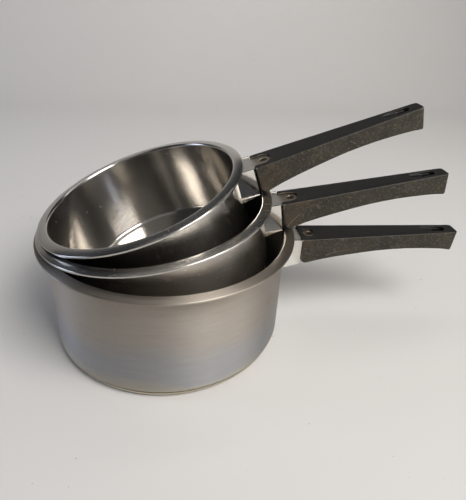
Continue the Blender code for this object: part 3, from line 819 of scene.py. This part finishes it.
# Worn resin: black on top, rubbed brown-grey and mottled on its sides, pale along its edges,
# rust-coloured by the bracket, with a few curved scuffs.
worn_resin, given, result = new_group(
    "worn_resin", {"Front": 0.1, "Seed": 0.0}, {"Color": "Color", "Roughness": "Float", "Height": "Float"}
)
tree = worn_resin
coordinates = add_node(tree, "TexCoord")
offset = add_node(tree, "CombineXYZ", Y=given["Seed"]).outputs[0]
place = vector_of(tree, "ADD", coordinates.outputs["Object"], offset)
facing = add_node(tree, "SeparateXYZ", Vector=coordinates.outputs["Normal"]).outputs["Z"]
side = sum_of(tree, "SUBTRACT", 1.0, step_of(tree, facing, 0.35, 0.92))
spot = add_node(tree, "SeparateXYZ", Vector=coordinates.outputs["Object"]).outputs
along = sum_of(tree, "SUBTRACT", spot["X"], given["Front"])
middle = sum_of(tree, "SUBTRACT", 1.0, step_of(tree, sum_of(tree, "ABSOLUTE", spot["Y"]), 0.0044, 0.0062))
before_tail = sum_of(tree, "SUBTRACT", 1.0, step_of(tree, along, 0.1410, 0.1430))
hollow = sum_of(tree, "MULTIPLY", middle, before_tail)
side = sum_of(tree, "MULTIPLY", side, sum_of(tree, "SUBTRACT", 1.0, hollow))
mottle = noise_of(tree, place, 520.0, detail=4.0, roughness=0.75)
patches = noise_of(tree, place, 55.0, detail=4.0, roughness=0.6)
wear = sum_of(tree, "ADD", sum_of(tree, "MULTIPLY", mottle, 0.6), sum_of(tree, "MULTIPLY", patches, 0.6))
wear = step_of(tree, wear, 0.40, 0.82)
worn = sum_of(tree, "ADD", sum_of(tree, "MULTIPLY", wear, 0.75), 0.35)
rubbed = sum_of(tree, "MULTIPLY", side, worn, clamp=True)
near_front = sum_of(tree, "SUBTRACT", 1.0, step_of(tree, along, 0.004, 0.034))
rusty = sum_of(tree, "MULTIPLY", near_front, step_of(tree, patches, 0.42, 0.66))
rusty = sum_of(tree, "MULTIPLY", rusty, sum_of(tree, "ADD", sum_of(tree, "MULTIPLY", side, 0.75), 0.15))
colour = blend_of(tree, rubbed, RESIN, RESIN_WORN)
flecks = sum_of(tree, "MULTIPLY", step_of(tree, mottle, 0.53, 0.68), side)
colour = blend_of(tree, sum_of(tree, "MULTIPLY", flecks, 0.75), colour, RESIN_PALE)
colour = blend_of(tree, rusty, colour, RESIN_RUST)
convex = add_node(tree, "NewGeometry").outputs["Pointiness"]
edge = step_of(tree, convex, 0.515, 0.56)
edge = sum_of(tree, "MULTIPLY", edge, step_of(tree, noise_of(tree, place, 190.0, detail=3.0), 0.30, 0.55))
outside = sum_of(tree, "SUBTRACT", 1.0, sum_of(tree, "MULTIPLY", hollow, 0.85))
edge = sum_of(tree, "MULTIPLY", edge, outside)
colour = blend_of(tree, edge, colour, RESIN_EDGE)
scuffs = None
for offset_x, offset_z, bow in SCUFFS:
    dx = sum_of(tree, "SUBTRACT", along, offset_x)
    dz = sum_of(tree, "SUBTRACT", spot["Z"], offset_z)
    squares = sum_of(tree, "ADD", sum_of(tree, "MULTIPLY", dx, dx), sum_of(tree, "MULTIPLY", dz, dz))
    away = sum_of(tree, "SQRT", squares)
    off = sum_of(tree, "ABSOLUTE", sum_of(tree, "SUBTRACT", away, bow))
    line = sum_of(tree, "SUBTRACT", 1.0, step_of(tree, off, *SCUFF_EDGE))
    scuffs = line if scuffs is None else sum_of(tree, "MAXIMUM", scuffs, line)
scuffs = sum_of(tree, "MULTIPLY", scuffs, step_of(tree, noise_of(tree, place, 70.0, detail=1.0), 0.50, 0.60))
scuffs = sum_of(tree, "MULTIPLY", scuffs, side)
colour = blend_of(tree, sum_of(tree, "MULTIPLY", scuffs, 0.5), colour, RESIN_EDGE)
tree.links.new(colour, result["Color"])
rough = sum_of(tree, "ADD", 0.42, sum_of(tree, "MULTIPLY", rubbed, 0.20))
rough = sum_of(tree, "ADD", rough, sum_of(tree, "MULTIPLY", mottle, 0.10), clamp=True)
tree.links.new(rough, result["Roughness"])
relief = sum_of(tree, "SUBTRACT", mottle, sum_of(tree, "MULTIPLY", scuffs, 0.8))
tree.links.new(relief, result["Height"])

for index, pan in enumerate(PANS):
    front, top = pan["front"], pan["top"]
    resin, tree, shader = new_material(pan["name"] + "_worn_resin", Metallic=0.0, IOR=1.36)
    finish = use_group(tree, worn_resin, Front=front, Seed=0.37 * index)
    bump = add_node(tree, "Bump", Height=finish["Height"], Strength=0.45, Distance=RESIN_HEIGHT)
    tree.links.new(finish["Color"], shader.inputs["Base Color"])
    tree.links.new(finish["Roughness"], shader.inputs["Roughness"])
    tree.links.new(bump.outputs[0], shader.inputs["Normal"])

    grip = Matrix.Translation((front, 0, top)) @ Matrix.Rotation(-HANDLE_RISE, 4, "Y")
    piece = add_piece(pan, "handle", grip_shape(grip), resin)
    floor = top - RECESS_DEPTH
    tip = front + RECESS_LENGTH - RECESS_WIDTH / 2
    recess = [(front - 0.003, -RECESS_WIDTH / 2)]
    recess += curve((tip, 0), (RECESS_WIDTH / 2, RECESS_WIDTH / 2), -90, 90, 24)
    recess.append((front - 0.003, RECESS_WIDTH / 2))
    if pan["name"] == "large":
        cut(piece, prism(recess, floor, top - TANG_BELOW_TOP + GAP))
        middle = (front + SCREW_AT - 0.0012, 0)
        window = curve(middle, (WINDOW_SIZE[0] / 2, WINDOW_SIZE[1] / 2), 0, 352.5, 47)
        cut(piece, prism(window, floor + 0.0005, top + 0.004))
    else:
        cut(piece, prism(recess, floor, top + 0.004))
    deep = floor - INSERT_LENGTH - 3 * GAP
    wide = INSERT_RADIUS + GAP
    pocket = [(0, floor + 0.0004), (wide, floor + 0.0004), (wide, deep), (0, deep)]
    cut(piece, revolve(pocket, 32, (front + SCREW_AT, 0)))
    hole_x = HANDLE_LENGTH - HOLE_FROM_TAIL
    hole = prism(stadium(hole_x, HOLE_LENGTH, HOLE_WIDTH), -0.030, 0.004)
    hole.transform(grip)
    cut(piece, hole)
    groove = prism(stadium(-GROOVE_LENGTH / 2, GROOVE_LENGTH, GROOVE_WIDTH), 0, 0.012)
    depth = GROOVE_START + GROOVE_LENGTH * math.sin(GROOVE_SLOPE)
    groove_end = Matrix.Translation((hole_x + HOLE_LENGTH / 2, 0, -depth))
    groove.transform(grip @ groove_end @ Matrix.Rotation(GROOVE_SLOPE, 4, "Y"))
    cut(piece, groove)
    remesh = piece.modifiers.new("even_skin", "REMESH")
    remesh.mode = "VOXEL"
    remesh.voxel_size = GRIP_VOXEL
    remesh.use_smooth_shade = True
    relax = piece.modifiers.new("relax", "SMOOTH")
    relax.factor = 0.5
    relax.iterations = 2
    settle(piece)
    piece.data.shade_smooth()
    if not piece.data.materials:
        piece.data.materials.append(resin)
    fit_piece(pan, "handle", piece)

# The screws: countersunk cross-head steel screws that hold each grip on its tongue, dulled brown and painted
# near black as the shade of the hole they sit in.
SCREW_LENGTH = 0.0125
DRIVE_WIDTH = 0.0009
DRIVE_LENGTH = 0.0038
DRIVE_DEPTH = 0.0010

for index, pan in enumerate(PANS):
    # This steel colour is partly the screw's own dull brown and partly painted shade in the recess.
    steel, tree, shader, finish = steel_material(
        pan["name"] + "_dull_screw_steel", straight_grain, 14.0 + index, 0.6, 0.0, turned=False,
        Steel=(0.12, 0.095, 0.07), Stain=(0.05, 0.035, 0.022), Deposits=0.9, Specks=0.0, Scratches=0.4,
        Polish=0.58, Grain=0.5,
    )
    x, high = pan["front"] + SCREW_AT, pan["top"] - TANG_BELOW_TOP
    profile = [(0, high), (HEAD_RADIUS - 0.0004, high), (HEAD_RADIUS - 0.0001, high - 0.0001)]
    profile += [(HEAD_RADIUS, high - 0.0003), (SHANK_RADIUS, high - HEAD_HEIGHT)]
    profile.append((SHANK_RADIUS, high - SCREW_LENGTH + 0.0008))
    profile.append((SHANK_RADIUS - 0.0007, high - SCREW_LENGTH))
    profile.append((0, high - SCREW_LENGTH))
    piece = add_piece(pan, "screw", revolve(profile, 48, (x, 0)), steel)
    for along, across in ((DRIVE_LENGTH, DRIVE_WIDTH), (DRIVE_WIDTH, DRIVE_LENGTH)):
        a, b = along / 2, across / 2
        slot = [(x - a, -b), (x + a, -b), (x + a, b), (x - a, b)]
        cut(piece, prism(slot, high - DRIVE_DEPTH, high + 0.001))
    piece.data.shade_smooth()
    piece.data.set_sharp_from_angle(angle=math.radians(35))
    fit_piece(pan, "screw", piece)

# The inserts: threaded brass bushes moulded into the grips, out of sight. The CAD solids are kept.
for index, pan in enumerate(PANS):
    brass, tree, shader, finish = steel_material(
        pan["name"] + "_turned_brass", straight_grain, 18.0 + index, 0.4, 0.0, turned=False,
        Steel=(0.72, 0.55, 0.28), Stain=(0.25, 0.16, 0.07), Deposits=0.3, Specks=0.1, Scratches=0.3,
        Polish=0.33, Grain=0.5,
    )
    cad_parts[pan["name"] + "_insert"].material_slots[0].material = brass
